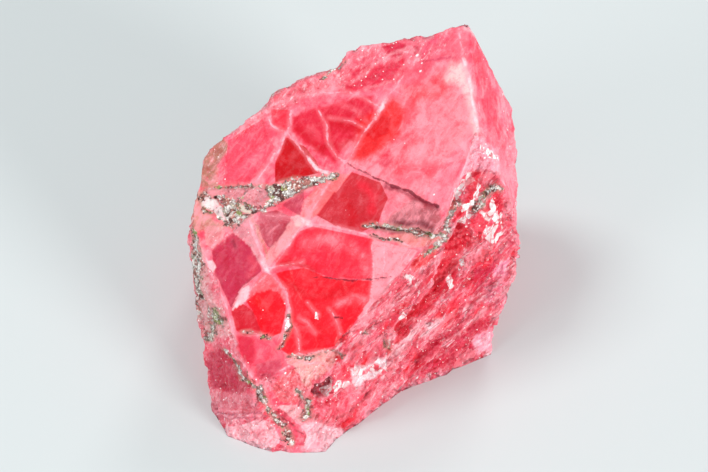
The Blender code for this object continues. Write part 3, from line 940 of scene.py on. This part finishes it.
class Makeup:
    """Kinds of break, fields, veins, painted ridge highlight, seams and tufts with painted glints at each
    point.
    """

    def __init__(self, surface, broad):
        self.p = p = surface.points
        self.broad = own_faces(surface)
        self.edge_gap = edge_gap(surface)
        self.cleaved = settled(surface, alignment(self.broad, CLEAVED_FACES))
        self.stepped = settled(surface, alignment(self.broad, STEPPED_FACES)) * (1 - self.cleaved)
        self.rough = 1 - self.cleaved - self.stepped
        look = (broad * units(EYE - p)).sum(axis=1)
        self.seen = smoothstep(*SEEN_RANGE, look + 0.08 * noise(p / 1.5, 3))
        shown = self.seen > 0.5
        self.sway = np.stack([fractal(p / 1.6, 3, 70), fractal(p / 1.6, 3, 80)], axis=1)
        self.spots = pixels(p)
        self.warped = self.spots + self.sway * 2.2 + noises(p / 0.45, (61, 62)) * 1.2
        self.nearly_straight = self.spots + self.sway * 0.7
        self.domain_edge, self.domain = self.hidden_domains()
        self.vein_and_highlight = self.lines(VEINS_AND_HIGHLIGHTS, 1.6, self.gate(2.1, 15) * 0.11 - 0.03 - self.domain_edge)
        self.crack = self.lines(CRACKS, 1.6, self.gate(3.0, 16) * 0.09 - 0.05 - self.hidden_gap(0.11, 7))
        self.seam = self.lines(SEAMS, 4.5, self.hidden_seam())
        wide = self.deepest(SEAM_AREAS.values())
        self.seam = np.maximum(self.seam, np.where(shown, wide * MM_PER_PX, -1.0))
        for name in BARE_FIELDS:
            bare = np.maximum(-depth_inside(self.nearly_straight, FIELDS[name][-1]) * MM_PER_PX, -0.12)
            self.seam = np.minimum(self.seam, np.where(shown, bare, 1.0))
        calm = self.deepest(FIELDS[name][-1] for name in CALM_FIELDS)
        self.fibrous = self.stepped * (1 - 0.75 * smoothstep(-2.0, 2.0, calm) * self.seen)
        plate = self.deepest(PLATES) * MM_PER_PX
        self.plate = np.where(shown, np.clip(plate, -1.0, 1.0), -1.0)
        grainy = [share * smoothstep(-3.0, 3.0, depth_inside(self.warped, outline))
                  for share, outline in PATCHES]
        self.broken = np.maximum(1 - self.cleaved, np.max(grainy, axis=0) * self.seen)
        self.flake_and_glint = self.lines(FLAKES_AND_GLINTS, 7.0, np.full(len(p), -1.0))

    def deepest(self, outlines):
        """How far inside the nearest of some outlines each spot lies, in pixels."""
        return np.max([depth_inside(self.warped, outline) for outline in outlines], axis=0)

    def hidden_domains(self):
        """Each point's distance from its domain's rim, in millimetres, and the domain's random number."""
        width = 5.2
        warped = self.p + 0.7 * noises(self.p / 2.4, (91, 92, 93))
        first, second, owner = cells(warped / width, 5)
        return (second - first) * width / 2, owner

    def gate(self, length, seed):
        """Stretches of about this length where something shows."""
        return smoothstep(-0.2, 0.4, noise(self.p / length, seed))

    def hidden_gap(self, spread, seed):
        """Distance to wandering sheets that cross the stone, in millimetres."""
        sheet = noise(self.p / 7.5 + 4.3, seed) + 0.1 * noise(self.p / 1.1, seed + 1)
        return np.abs(sheet - spread) * 7.5 / 2.2

    def hidden_seam(self):
        patchy = fractal(self.p / 2.2, 3, 33)
        return 0.42 * patchy + 0.05 - self.hidden_gap(-0.18, 21) * 0.8

    def lines(self, table, sway, hidden):
        """Millimetres within the nearest line: drawn where the camera sees, and grown in space elsewhere."""
        within = reach(self.spots + self.sway * sway, table) * MM_PER_PX
        return np.clip(hidden + (within - hidden) * self.seen, -1.0, 1.0)


def ground_colour(m):
    """The stone's own colour before any field is laid over it."""
    p = m.p
    cloud = fractal(p / 2.6, 4, 40)
    fine = fractal(p / 0.7, 3, 44)
    pink = mix(PINK, ROSE, smoothstep(-0.3, 0.5, cloud))
    pale = mix(CORAL, BLUSH, smoothstep(-0.2, 0.6, fine))
    streak = fractal(stretched(p, STEP_RUN, 0.5, 4.0), 4, 48)
    fibres = mix(ROSE, PINK, smoothstep(-0.25, 0.35, streak))
    fibres = mix(fibres, RED, smoothstep(0.1, 0.7, -streak))
    fibres = mix(fibres, BLUSH, smoothstep(0.35, 0.8, streak))
    colour = mix(pink, pale, smoothstep(0.0, 0.8, fine) * 0.6)
    colour = mix(colour, fibres, m.stepped)
    # Inside the domains that veins part off, the stone is deep and even in colour.
    depth = smoothstep(0.15, 0.7, m.domain_edge) * (1 - 0.55 * m.rough) * (1 - m.seen)
    tones = DOMAIN_TONES[np.searchsorted(DOMAIN_SHARES, m.domain, side="right")]
    return mix(colour, tones, depth * 0.85)


def stone_colours(m):
    """Each point's colour, the colour of the nearest sharp field and how deep inside that the point lies."""
    colour = ground_colour(m)
    inlay, cover_of, rim = colour.copy(), np.zeros(len(m.p)), np.full(len(m.p), -9.0)
    for shade, cover, softness, outline in FIELDS.values():
        depth = depth_inside(m.warped if softness else m.nearly_straight, outline)
        if softness:
            inside = smoothstep(-softness * 0.6, softness * 0.6, depth)
            colour = mix(colour, shade, inside * cover * m.seen)
        else:
            nearest = (depth > 0) | ((depth > rim) & (rim < 0))
            inlay[nearest], cover_of[nearest] = shade, cover
            rim = np.where(nearest, depth, rim)
    inlay = mix(colour, inlay, cover_of)
    rim = np.where(m.seen > 0.5, np.clip(rim * MM_PER_PX, -0.5, 0.5), -0.5)
    for shade, cover, half_width, route in STROKES.values():
        within = smoothstep(0.0, 1.0, 1 - line_gap(m.warped, route) / (half_width * 1.4)) * cover * m.seen
        colour, inlay = mix(colour, shade, within), mix(inlay, shade, within)
    # The smooth shoulder is streaked along its length.
    streak = fractal(stretched(m.p, SHOULDER_RUN, 0.55, 5.0), 3, 52)
    shoulder = alignment(m.broad, (SHOULDER,))
    colour = mix(colour, ROSE, shoulder * 0.7 * smoothstep(0.15, 0.6, streak))
    colour = mix(colour, BLUSH, shoulder * 0.6 * smoothstep(0.2, 0.7, -streak))
    # Weathering greys the rough faces a little.
    worn = smoothstep(0.1, 0.7, fractal(m.p / 1.3, 3, 66)) * m.rough * (1 - 0.6 * m.seen)
    return mix(colour, ASH, worn * 0.5), inlay, rim


def straight_steps(p):
    """A few low, straight cleavage steps, here and there."""
    total = np.zeros(len(p))
    for k, (run, pitch, height) in enumerate(CLEAVAGE_STEPS):
        place = p @ unit(np.array(run)) / pitch + 0.16 * noise(p / 3.0, 102 + k)
        here = smoothstep(0.0, 0.35, noise(p / 3.1, 105 + k))
        total += height * here * tooth(place, 0.9)
    return total


def relief(m):
    """How far below the evened surface each point lies, in millimetres."""
    p = m.p
    gentle = 0.10 * np.abs(fractal(p / 2.2, 3, 100))
    cleaved = gentle + straight_steps(p) + 0.015 * np.abs(noise(p / 0.3, 108))

    run = fractal(stretched(p, STEP_RUN, 0.7, 3.4), 4, 110)
    broad_run = fractal(stretched(p, STEP_RUN, 1.9, 6.0), 2, 112) * 2.6
    stepped = 0.34 * tooth(broad_run, 0.8) + 0.34 * smoothstep(-0.6, 0.8, run) + 0.10 * tooth(run * 2.5)
    stepped += 0.06 * np.abs(noise(p / 0.32, 114))

    first, second, owner = cells(p / 1.3 + 0.2 * noises(p / 0.6, (1, 2, 4)), 9)
    hackly = 0.34 * owner * smoothstep(0.0, 0.35, second - first)
    rough = hackly + 0.16 * np.abs(fractal(p / 0.9, 3, 120)) + 0.06 * np.abs(noise(p / 0.3, 124))

    depth = cleaved * m.cleaved + stepped * m.stepped + rough * m.rough
    depth += 0.35 * rough * m.cleaved * m.broken
    for name, fall in HOLLOWS.items():
        depth += fall * m.seen * smoothstep(-1.2, 1.2, depth_inside(m.warped, FIELDS[name][-1]))
    for half_width, fall, route in GROOVES.values():
        within = 1 - line_gap(m.warped, route) / half_width
        depth += fall * m.seen * smoothstep(0.0, 1.0, within)
    first, second, owner = cells(p / 0.42, 13)
    grains = 0.18 * owner + 0.14 * first
    seam = smoothstep(-0.05, 0.12, m.seam)
    depth = depth * (1 - seam) + (0.04 + grains) * seam
    tuft_and_glint = smoothstep(-0.1, 0.2, m.flake_and_glint)
    blades = fractal(stretched(p, BLADE_RUN, 0.25, 1.8), 3, 130)
    depth += tuft_and_glint * 0.42 * smoothstep(-0.35, 0.5, blades)
    depth += 0.14 * smoothstep(-0.06, 0.05, m.crack)
    depth += 0.02 * smoothstep(-0.03, 0.05, m.vein_and_highlight) * m.cleaved
    for spot, radius, fall in BLUNTED:
        near = 1 - np.linalg.norm(m.spots - spot, axis=1) / radius
        depth += fall * smoothstep(0.0, 1.0, near) * smoothstep(2.5, 1.0, m.edge_gap)
    # Chips along every edge between faces.
    chip = smoothstep(0.5, 0.0, m.edge_gap) * smoothstep(0.0, 0.6, noise(p / 0.9, 140))
    depth += 0.16 * chip
    return depth - STEPPED_RISE * m.stepped - ROUGH_RISE * m.rough


# The stone's finish

FINISH = {
    "Subsurface Weight": 0.16,
    "Subsurface Radius": (1.0, 0.32, 0.28),
    "Subsurface Scale": 0.0012,
    "IOR": 1.6,
    "Specular IOR Level": 0.16,
}

# The middle of a random colour, which neither pushes nor tilts.
MIDDLE = (0.5, 0.5, 0.5)


class Nodes:
    """Short calls for building a shader."""

    def __init__(self, tree):
        self.tree = tree

    def add(self, kind, inputs=(), **settings):
        node = self.tree.nodes.new(kind)
        for name, value in settings.items():
            setattr(node, name, value)
        for name, value in dict(inputs).items():
            self.feed(node.inputs[name], value)
        return node

    def feed(self, socket, value):
        if isinstance(value, bpy.types.NodeSocket):
            self.tree.links.new(value, socket)
        else:
            socket.default_value = value

    def math(self, operation, *values):
        return self.add("ShaderNodeMath", dict(enumerate(values)), operation=operation).outputs[0]

    def between(self, value, low, high, to_low=0.0, to_high=1.0):
        inputs = {"Value": value, "From Min": low, "From Max": high, "To Min": to_low, "To Max": to_high}
        return self.add("ShaderNodeMapRange", inputs, interpolation_type="SMOOTHSTEP").outputs["Result"]

    def times(self, a, b):
        return self.math("MULTIPLY", a, b)

    def linear(self, value, times, plus):
        return self.math("MULTIPLY_ADD", value, times, plus)

    def vector(self, operation, *values, output="Vector", **inputs):
        inputs.update(enumerate(values))
        return self.add("ShaderNodeVectorMath", inputs, operation=operation).outputs[output]

    def noise(self, place, scale, detail=3.0, roughness=0.55, distortion=0.0):
        inputs = {"Vector": place, "Scale": scale, "Detail": detail, "Roughness": roughness}
        return self.add("ShaderNodeTexNoise", {**inputs, "Distortion": distortion}).outputs[0]

    def voronoi(self, place, scale, feature="F1"):
        return self.add("ShaderNodeTexVoronoi", {"Vector": place, "Scale": scale}, feature=feature)

    def drawn_out(self, place, run, times):
        """Space drawn out along a line, so that a texture in it makes fibres."""
        run = Vector(unit(run))
        along = self.vector("DOT_PRODUCT", place, run, output="Value")
        shift = self.vector("SCALE", run, Scale=self.times(along, 1 / times - 1))
        return self.vector("ADD", place, shift)

    def lots(self, cell):
        """Three random numbers for each cell."""
        return self.add("ShaderNodeSeparateColor", {0: cell.outputs["Color"]}).outputs

    def specks(self, place, scale, size, rarity):
        """Scattered dots, none larger than this share of a cell."""
        dot = self.voronoi(place, scale)
        red, green, _ = self.lots(dot)
        spot = self.math("LESS_THAN", dot.outputs["Distance"], self.linear(red, size * 0.7, size * 0.3))
        return self.times(spot, self.math("GREATER_THAN", green, rarity))

    def crooked(self, place, scale, amount):
        """Space pushed about, so that straight lines in it come out crooked."""
        push = self.add("ShaderNodeTexNoise", {"Vector": place, "Scale": scale, "Detail": 3.0})
        shift = self.vector("SCALE", self.vector("SUBTRACT", push.outputs["Color"], MIDDLE), Scale=amount)
        return self.vector("ADD", place, shift)

    def plates(self, place, scale):
        """Flat plates: each one's random number, the distance to its rim, and its height as it tilts."""
        cell = self.voronoi(place, scale)
        rim = self.voronoi(place, scale, "DISTANCE_TO_EDGE").outputs["Distance"]
        offset = self.vector("SUBTRACT", place, cell.outputs["Position"])
        tilt = self.vector("SUBTRACT", cell.outputs["Color"], MIDDLE)
        return self.lots(cell)[0], rim, self.vector("DOT_PRODUCT", offset, tilt, output="Value")

    def attribute(self, name, output="Fac"):
        return self.add("ShaderNodeAttribute", attribute_name=name).outputs[output]

    def blend(self, factor, a, b, kind="MIX"):
        node = self.add("ShaderNodeMix", data_type="RGBA", blend_type=kind)
        for socket, value in zip((node.inputs[0], node.inputs[6], node.inputs[7]), (factor, a, b)):
            self.feed(socket, value)
        return node.outputs[2]

    def lay(self, colour, shade, texture, low, high, share=1.0, gate=None, kind="MIX"):
        """A shade over a colour, up to a share as a texture goes from low to high, where a gate lets it."""
        factor = self.between(texture, low, high, 0.0, share)
        if gate is not None:
            factor = self.times(factor, gate)
        return self.blend(factor, colour, opaque(shade), kind)

    def bump(self, strength, distance, height, **normal):
        inputs = {"Strength": strength, "Distance": distance, "Height": height, **normal}
        return self.add("ShaderNodeBump", inputs).outputs["Normal"]


def opaque(colour):
    return (*colour, 1.0)


def rhodonite_material():
    material = bpy.data.materials.new("rhodonite_stone")
    material.use_nodes = True
    n = Nodes(material.node_tree)
    shader = material.node_tree.nodes["Principled BSDF"]
    place = n.vector("SCALE", n.add("ShaderNodeTexCoord").outputs["Object"], Scale=1 / MM)
    broken, stepped = n.attribute("Broken"), n.attribute("Stepped")
    fibre_place = n.drawn_out(place, STEP_RUN, 9.0)

    # Sharp fields lie over the soft ones.
    ragged = n.linear(n.noise(place, 3.6, 5.0, 0.65), 0.24, -0.12)
    rim = n.math("ADD", n.attribute("Rim"), n.times(ragged, 0.3))
    colour = n.blend(n.between(rim, -0.05, 0.05), n.attribute("Tint", "Color"), n.attribute("Inlay", "Color"))

    # Clouds, wisps and grain inside the stone, fainter where it is deep and clear.
    green = n.add("ShaderNodeSeparateColor", {0: colour}).outputs[1]
    pale = n.between(green, 0.0, 0.16, 0.14, 1.0)
    cloud = n.noise(place, 0.75, 8.0, 0.66, 0.7)
    colour = n.lay(colour, BLUSH, cloud, 0.5, 0.64, 0.55, pale)
    colour = n.lay(colour, CLOUD_SHADE, cloud, 0.5, 0.36, 0.6, kind="MULTIPLY")
    wisp = n.noise(n.drawn_out(place, WISP_RUN, 3.5), 1.9, 7.0, 0.68, 0.5)
    colour = n.lay(colour, BLUSH, wisp, 0.51, 0.62, 0.48, pale)
    colour = n.lay(colour, WISP_SHADE, wisp, 0.48, 0.36, 0.5, kind="MULTIPLY")
    fleck = n.noise(place, 4.6, 4.0, 0.7)
    grainy = n.math("MAXIMUM", broken, 0.38)
    colour = n.lay(colour, BLUSH, fleck, 0.54, 0.66, 0.6, n.times(grainy, pale))
    colour = n.lay(colour, CRIMSON, fleck, 0.46, 0.34, 0.6, grainy)
    dash = n.noise(n.crooked(n.drawn_out(place, WISP_RUN, 2.4), 1.2, 0.6), 4.0, 5.0, 0.7)
    colour = n.lay(colour, MILK, dash, 0.54, 0.66, 0.65, n.times(broken, pale))
    colour = n.lay(colour, FIBRE_SHADE, dash, 0.46, 0.36, 0.4, broken, "MULTIPLY")

    # Fibres of the stepped breaks, from deep red to nearly white, with calm stretches between them.
    fibre = n.noise(fibre_place, 3.0, 6.0, 0.7)
    busy = n.times(n.between(n.noise(place, 0.55, 3.0), 0.4, 0.6, 0.25, 0.95), stepped)
    colour = n.lay(colour, FIBRE_SHADE, fibre, 0.48, 0.36, 1.0, busy, "MULTIPLY")
    colour = n.lay(colour, MILK, fibre, 0.52, 0.64, 0.9, n.times(busy, n.between(green, 0.0, 0.14, 0.3, 1.0)))
    step_lot, step_rim, step_height = n.plates(n.crooked(fibre_place, 1.5, 0.5), 1.1)
    colour = n.lay(colour, FIBRE_SHADE, step_lot, 0.4, 0.1, 0.42, stepped, "MULTIPLY")
    colour = n.lay(colour, BLUSH, step_lot, 0.7, 0.95, 0.5, stepped)
    colour = n.lay(colour, MAROON, step_rim, 0.045, 0.01, 0.45, busy)

    # Healed cracks, and the painted highlight along the main ridge, swell and fade along their length, with a
    # pale haze beside them.
    in_vein_and_highlight = n.attribute("VeinAndHighlight")
    colour = n.lay(colour, BLUSH, in_vein_and_highlight, -0.3, 0.0, 0.22)
    swelling = n.linear(n.noise(place, 1.1, 2.0), 0.2, -0.1)
    vein_and_highlight = n.between(n.math("ADD", n.math("ADD", in_vein_and_highlight, ragged), swelling), -0.04, 0.05)
    vein_and_highlight = n.times(vein_and_highlight, n.between(n.noise(place, 1.5, 5.0, 0.65), 0.38, 0.62, 0.15, 0.85))
    colour = n.blend(vein_and_highlight, colour, n.lay(opaque(THIN_VEIN_AND_HIGHLIGHT), THICK_VEIN_AND_HIGHLIGHT, in_vein_and_highlight, 0.03, 0.11))

    # Splinters stand in tufts, and lie scattered here and there on the stepped breaks; their white is painted
    # glints.
    blade_place = n.crooked(n.drawn_out(place, BLADE_RUN, 3.0), 2.0, 0.3)
    blade_lot, blade_rim, blade_height = n.plates(blade_place, 2.4)
    loose_glints = n.times(n.between(n.noise(place, 2.4, 4.0, 0.65), 0.64, 0.67), stepped)
    tuft_and_glint = n.math("MAXIMUM", n.between(n.attribute("FlakeAndGlint"), -0.12, 0.12), loose_glints)
    blades = n.lay(opaque(ROSE), PINK, blade_lot, 0.2, 0.24)
    blades = n.lay(blades, SPLINTER_GLINT, blade_lot, 0.42, 0.46)
    blades = n.lay(blades, ROSE, blade_rim, 0.08, 0.02, 0.8)
    colour = n.blend(n.times(tuft_and_glint, 0.9), colour, blades)

    plate = n.between(n.math("ADD", n.attribute("Plate"), n.times(ragged, 0.8)), -0.03, 0.03)
    white = n.lay(opaque(PLATE_WHITE), PINK, n.noise(blade_place, 3.0, 3.0), 0.42, 0.32, 0.7)
    white = n.lay(white, ROSE, blade_rim, 0.07, 0.02, 0.7)
    shown = n.times(plate, n.between(blade_lot, 0.2, 0.26))
    colour = n.blend(n.times(shown, 0.95), colour, white)

    # Weathered seams: tilted plates of several greys, with dark creases and fine grains.
    plate_lot, plate_rim, plate_height = n.plates(n.crooked(place, 2.0, 0.7), 1.7)
    grain = n.voronoi(place, 5.6)
    grain_lot = n.lots(grain)[0]
    grains = opaque(INK)
    for share, shade in SEAM_TONES:
        grains = n.lay(grains, shade, plate_lot, share, share + 0.03)
    grains = n.lay(grains, INK, grain_lot, 0.28, 0.18, 0.45)
    grains = n.lay(grains, SILVER, grain_lot, 0.62, 0.7, 0.75)
    grains = n.lay(grains, INK, plate_rim, 0.06, 0.02, 0.6)
    in_seam = n.linear(shown, -0.5, n.attribute("Seam"))
    colour = n.lay(colour, DUST, in_seam, -0.28, 0.1, 0.6)
    scattered = n.linear(n.noise(place, 2.6, 6.0, 0.72), 1.7, -0.9)
    seam = n.between(n.math("ADD", in_seam, scattered), -0.05, 0.05)
    colour = n.blend(n.times(seam, 0.92), colour, grains)

    uneven = n.linear(n.noise(place, 1.6, 5.0, 0.7), 0.4, -0.2)
    colour = n.lay(colour, MAROON, n.math("ADD", n.attribute("Crack"), uneven), -0.05, 0.05, 0.85)

    # White dust specks and painted glints, scattered most thickly over the broken faces.
    specks = n.specks(place, 3.8, 0.22, n.linear(broken, -0.24, 0.975))
    glints = n.specks(n.drawn_out(place, STEP_RUN, 1.8), 2.2, 0.18, n.linear(broken, -0.22, 0.985))
    colour = n.blend(n.times(n.math("MAXIMUM", specks, glints), 0.85), colour, opaque(GLINT))

    n.feed(shader.inputs["Base Color"], colour)
    gloss = n.linear(broken, 0.10, 0.16)
    n.feed(shader.inputs["Roughness"], n.linear(n.noise(place, 2.0, 4.0), 0.2, gloss))
    n.feed(shader.inputs["Metallic"], n.times(seam, 0.3))
    for name, value in FINISH.items():
        shader.inputs[name].default_value = value

    # Plates tilt by their own amounts wherever they show.
    rugged = n.math("ADD", n.times(grain.outputs["Distance"], seam),
                    n.times(n.voronoi(place, 3.0).outputs["Distance"], broken))
    rugged = n.linear(n.times(fibre, stepped), 1.6, rugged)
    tilts = n.times(plate_height, n.times(seam, 0.4))
    tilts = n.linear(blade_height, n.times(n.math("MAXIMUM", tuft_and_glint, plate), 0.22), tilts)
    tilts = n.linear(step_height, n.times(stepped, 0.22), tilts)
    normal = n.bump(0.45, 0.05 * MM, n.noise(place, 5.5, 4.0, 0.6))
    normal = n.bump(0.9, 0.16 * MM, rugged, Normal=normal)
    n.feed(shader.inputs["Normal"], n.bump(1.0, MM, tilts, Normal=normal))
    return material


# Building

def add_attribute(mesh, name, kind, field, rows):
    layer = mesh.attributes.new(name, kind, "POINT")
    layer.data.foreach_set(field, rows.astype(np.float32).reshape(-1))


def build_stone():
    solid = solid_surface()
    surface = evened(*with_fine_base(*divided(solid, crease_edges(solid))))
    broad = surface.point_normals()
    for _ in range(EVENING_ROUNDS):
        broad, _ = neighbour_mean(broad, surface.edges)
        broad = units(broad)
    makeup = Makeup(surface, broad)
    base = surface.points[:, 2] < BASE_HEIGHT
    depth = np.where(base, 0.0, relief(makeup))
    lowest, highest = (np.array(corner) / MM + CENTRE for corner in cad_box)
    points = surface.points - broad * depth[:, None]
    points = np.clip(points, lowest + BOX_MARGIN, highest - BOX_MARGIN)
    points[:, 2] = np.where(base, 0.0, points[:, 2])

    mesh = bpy.data.meshes.new("rhodonite_stone")
    mesh.vertices.add(len(points))
    mesh.vertices.foreach_set("co", ((points - CENTRE) * MM).astype(np.float32).reshape(-1))
    corners = surface.triangles.astype(np.int32)
    mesh.loops.add(corners.size)
    mesh.loops.foreach_set("vertex_index", corners.reshape(-1))
    mesh.polygons.add(len(corners))
    mesh.polygons.foreach_set("loop_start", np.arange(0, corners.size, 3, dtype=np.int32))
    mesh.update(calc_edges=True)
    mesh.validate()
    mesh.shade_smooth()
    tint, inlay, rim = stone_colours(makeup)
    for name, colours in {"Tint": tint, "Inlay": inlay}.items():
        rows = np.concatenate([colours * STONE_TINT, np.ones((len(points), 1))], axis=1)
        add_attribute(mesh, name, "FLOAT_COLOR", "color", rows)
    values = {"Rim": rim, "VeinAndHighlight": makeup.vein_and_highlight, "Crack": makeup.crack, "Seam": makeup.seam,
              "FlakeAndGlint": makeup.flake_and_glint, "Plate": makeup.plate, "Broken": makeup.broken,
              "Stepped": makeup.fibrous}
    for name, rows in values.items():
        add_attribute(mesh, name, "FLOAT", "value", rows)
    mesh.materials.append(rhodonite_material())
    stone = bpy.data.objects.new("rhodonite_stone", mesh)
    bpy.context.scene.collection.objects.link(stone)
    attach(stone, "root")
    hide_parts("rhodonite")


# Floor, light and camera

def add_floor():
    bm = bmesh.new()
    bmesh.ops.create_grid(bm, x_segments=1, y_segments=1, size=FLOOR_HALF)
    mesh = bpy.data.meshes.new("floor")
    bm.to_mesh(mesh)
    bm.free()
    material = bpy.data.materials.new("floor")
    material.use_nodes = True
    shader = material.node_tree.nodes["Principled BSDF"]
    shader.inputs["Base Color"].default_value = FLOOR_COLOUR
    shader.inputs["Roughness"].default_value = FLOOR_ROUGHNESS
    mesh.materials.append(material)
    floor = bpy.data.objects.new("floor", mesh)
    bpy.context.scene.collection.objects.link(floor)


def add_soft_box(name, place, size, watts, colour):
    light = bpy.data.lights.new(name, "AREA")
    light.shape = "DISK"
    light.size = size
    light.energy = watts
    light.color = colour
    box = bpy.data.objects.new(name, light)
    box.location = place
    box.rotation_euler = (LIGHT_AIM - Vector(place)).to_track_quat("-Z", "Y").to_euler()
    bpy.context.scene.collection.objects.link(box)


def add_light():
    world = bpy.data.worlds.new("studio")
    world.use_nodes = True
    background = world.node_tree.nodes["Background"]
    background.inputs["Color"].default_value = AIR_COLOUR
    background.inputs["Strength"].default_value = AIR_STRENGTH
    bpy.context.scene.world = world
    bpy.context.scene.view_settings.view_transform = "Standard"
    for name, (place, size, watts, colour) in LIGHTS.items():
        add_soft_box(name, place, size, watts, colour)


def add_camera():
    camera = bpy.data.cameras.new("camera")
    camera.lens = LENS_MM
    camera.sensor_width = SENSOR_MM
    camera.clip_start, camera.clip_end = CLIP
    obj = bpy.data.objects.new("camera", camera)
    turn = Matrix((RIGHT, UP, TOWARD)).transposed().to_4x4()
    obj.matrix_world = Matrix.Translation((EYE - CENTRE) * MM) @ turn
    bpy.context.scene.collection.objects.link(obj)
    bpy.context.scene.camera = obj


add_camera()
build_stone()
add_floor()
add_light()
